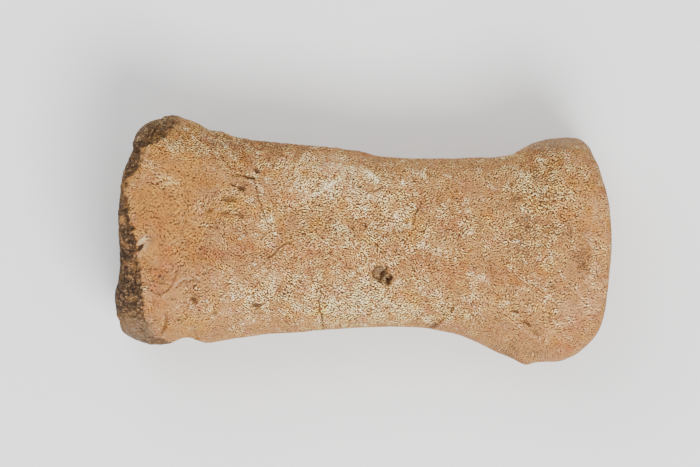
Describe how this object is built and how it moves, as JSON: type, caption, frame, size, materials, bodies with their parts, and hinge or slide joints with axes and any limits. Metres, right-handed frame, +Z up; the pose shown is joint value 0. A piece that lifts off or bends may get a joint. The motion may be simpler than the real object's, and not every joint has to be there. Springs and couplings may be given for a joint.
{
  "type": "fossil tail vertebra",
  "caption": "Fossil tail vertebra of a large meat-eating dinosaur: a long spool-shaped centrum with hollowed ends, its arch broken off, lying on its side.",
  "frame": {"origin": "middle of the bone's box in plan, at the level of what it lies on", "axes": "+X runs along the bone from its front end to its rear end, +Y is the side that faced up in life, and +Z is up, out of the bone's left side"},
  "size_m": [0.1208, 0.057, 0.0479],
  "materials": {
    "fossil_bone": "dry matt mineralised bone, tan to ochre, with fine dark pores and a dark rough crust on the worn front rim"
  },
  "bodies": {
    "root": {"tail_vertebra": "fossil_bone"}
  },
  "joints": []
}
